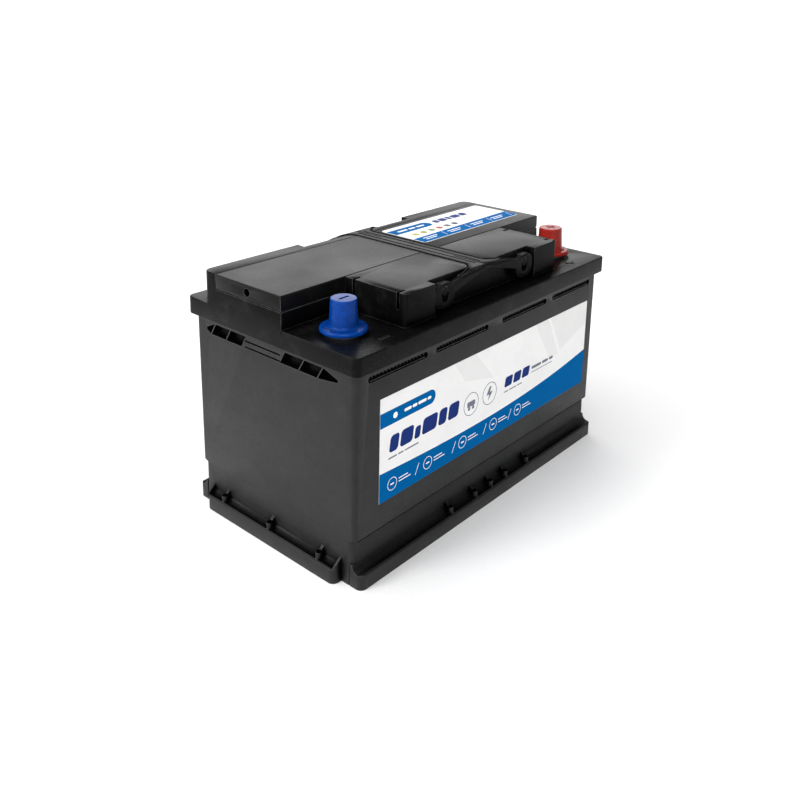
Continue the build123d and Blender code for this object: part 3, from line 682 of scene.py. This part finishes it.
# two ringed icons, a small vehicle and a bolt, and lines of fine print as bars
ink = Print("front_label_fine_print", on_front, ink_film, 0.06)
for centre in ((100.1, 37.4), (123.4, 37.9)):
    ink.ring(centre, 9.1, 0.55)
ink.bar(95.2, 35.6, 9.8, 4.2, round_end=0.3)
ink.disc((97.6, 34.2), 1.5)
ink.disc((102.6, 34.2), 1.5)
bolt_left = [(123.0, 43.5), (119.2, 37.2), (122.8, 37.2)]
bolt_right = [(127.2, 39.0), (123.8, 39.0), (125.4, 43.5)]
ink.shape([*bolt_left, (121.8, 32.4), *bolt_right])
for place, length in ((8.4, 9.0), (18.6, 5.5), (25.3, 14.5)):
    ink.bar(place, 29.4, length, 1.1)
for place, length in ((142.8, 6.0), (149.8, 10.0), (160.8, 7.0)):
    ink.bar(place, 31.4, length, 0.9)
for place, length in ((181.0, 14.0), (196.5, 9.0), (207.0, 6.0)):
    ink.bar(place, 39.0, length, 2.4)
ink.bar(181.0, 36.0, 31.0, 0.6)
ink.done()

# ---------------------------------------------------------------- top label
top_low, top_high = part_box("top_label")
top_width = (top_high.x - top_low.x) / MM


def on_top(u, v, lift):
    """A point of the top label from its front left corner, lifted off its face."""
    return Vector((top_low.x + u * MM, top_low.y + v * MM, top_high.z + lift * MM))


top_band = Print("top_label_blue_band", on_top, blue_film, 0.04)
margin = 0.3
right_edge = top_width - margin
band_bottom = [(1.0, 0.6), (top_width - 1.5, 0.6), (right_edge, 2.0)]
top_band.shape([*band_bottom, (right_edge, 15.5), (margin, 13.0), (margin, 1.6)])
top_pill_end = arc((44.0, 37.0), 6.0, range(-90, 91, 10))
top_band.shape([(margin, 31.0), *top_pill_end, (margin, 43.0)])
top_band.done()

top_navy = Print("top_label_emblem", on_top, navy_film, 0.05)
for place, length in ((55.0, 6.0), (62.5, 9.0), (73.0, 5.0), (79.5, 11.0), (92.0, 8.0)):
    top_navy.bar(place, 33.0, length, 8.0, slant=0.16, round_end=0.25)
top_navy.done()

top_light = Print("top_label_highlight", on_top, bright_film, 0.06)
for place, length in ((8.0, 12.0), (22.0, 8.0), (32.0, 10.0)):
    top_light.bar(place, 35.6, length, 2.6)
for start in (8.0, 40.0, 72.0, 102.0):
    top_light.bar(start, 8.6, 18.0, 1.2)
    top_light.bar(start, 5.2, 14.0, 1.2)
    top_light.bar(start + 24.5, 3.0, 0.5, 9.0, slant=0.3, round_end=0.0)
top_light.done()

spot_colours = (
    ("ochre", (0.42, 0.36, 0.08)),
    ("olive", (0.26, 0.28, 0.07)),
    ("moss", (0.20, 0.26, 0.10)),
    ("brick", (0.40, 0.10, 0.07)),
    ("slate", (0.14, 0.12, 0.12)),
    ("soot", (0.06, 0.06, 0.07)),
)
spot_start = 10.0
spot_pitch = 10.5
spot_size = 6.0
for i, (shade, colour) in enumerate(spot_colours):
    spot = Print(f"top_label_spot_{shade}", on_top, printed_film(f"label_{shade}", colour), 0.05)
    spot.bar(spot_start + spot_pitch * i, 18.5, spot_size, spot_size, round_end=0.35)
    spot.done()

# ---------------------------------------------------------------- floor, light and camera
floor_shader = Shader("pale_floor")
speckle = floor_shader.noise(300, detail=3)
floor_patches = floor_shader.remap(speckle, 0.3, 0.7, 0.0, 1.0)
floor_tint = floor_shader.blend(floor_patches, (0.83, 0.83, 0.83), (0.85, 0.85, 0.85))
floor_material = floor_shader.finish(floor_tint, floor_shader.remap(speckle, 0.3, 0.7, 0.7, 0.8))
bpy.ops.mesh.primitive_plane_add(size=400, location=(0, 0, 0))
floor = bpy.context.object
floor.name = "studio_floor"
floor.data.materials.append(floor_material)

world = bpy.data.worlds.new("studio")
bpy.context.scene.world = world
world.use_nodes = True
sky = Graph(world.node_tree)
way = sky.node("ShaderNodeSeparateXYZ")
sky.join(sky.node("ShaderNodeTexCoord").outputs["Generated"], way.inputs[0])
# the sky is bright near the horizon and dimmer overhead
sky_level = sky.remap(way.outputs["Z"], 0.03, 0.2, 1.05, 0.33)
# a dark flag in front on the right keeps that side of round things deep in tone
flag_level = sky.remap(sky.math("SUBTRACT", way.outputs["X"], way.outputs["Y"]), 0.78, 1.35, 1.0, 0.1)
background = world.node_tree.nodes["Background"]
sky.join(sky.math("MULTIPLY", sky_level, flag_level), background.inputs["Color"])
background.inputs["Strength"].default_value = 1.0


def aim(light, place, target):
    """Puts a light at a place and turns it towards a target."""
    light.location = place
    light.rotation_euler = (Vector(target) - Vector(place)).to_track_quat("-Z", "Y").to_euler()
    bpy.context.scene.collection.objects.link(light)


def soft_sun(name, place, strength, angle):
    """An even light from one side, blurred over an angle in degrees, that lights the whole floor alike."""
    data = bpy.data.lights.new(name, "SUN")
    data.energy = strength
    data.angle = math.radians(angle)
    aim(bpy.data.objects.new(name, data), place, (0, 0, 0))


def soft_box(name, place, size, power):
    """A rectangular soft box that looks at the middle of the battery."""
    data = bpy.data.lights.new(name, "AREA")
    data.shape = "RECTANGLE"
    data.size = size[0]
    data.size_y = size[1]
    data.energy = power
    aim(bpy.data.objects.new(name, data), place, (cad_low + cad_high) / 2)


soft_sun("overhead_sun", (-0.3, 0.25, 1.0), 1.9, 70)
soft_sun("left_sun", (-0.85, 0.35, 0.45), 2.0, 25)
soft_sun("front_sun", (-0.9, -1.0, 0.8), 1.7, 40)
soft_box("back_box", (1.15, 1.25, 0.85), (1.6, 0.8), 10.5)

camera_data = bpy.data.cameras.new("camera")
camera_data.sensor_width = 36.0
camera_data.lens = 39.69
camera_data.shift_x = 0.0030
camera_data.shift_y = -0.2471
camera_data.clip_start = 0.01
camera_data.clip_end = 1000
camera = bpy.data.objects.new("camera", camera_data)
camera.location = (-0.5173, -0.4378, 0.3837)
yaw, pitch, roll = math.radians(-48.671), math.radians(13.185), math.radians(0.802)
forward = Vector((-math.sin(yaw) * math.cos(pitch), math.cos(yaw) * math.cos(pitch), -math.sin(pitch)))
level = Vector((math.cos(yaw), math.sin(yaw), 0.0))
upward = level.cross(forward)
camera_right = math.cos(roll) * level + math.sin(roll) * upward
camera_up = math.cos(roll) * upward - math.sin(roll) * level
camera.rotation_euler = Matrix((camera_right, camera_up, -forward)).transposed().to_euler()
bpy.context.scene.collection.objects.link(camera)
bpy.context.scene.camera = camera
bpy.context.scene.view_settings.view_transform = "Standard"
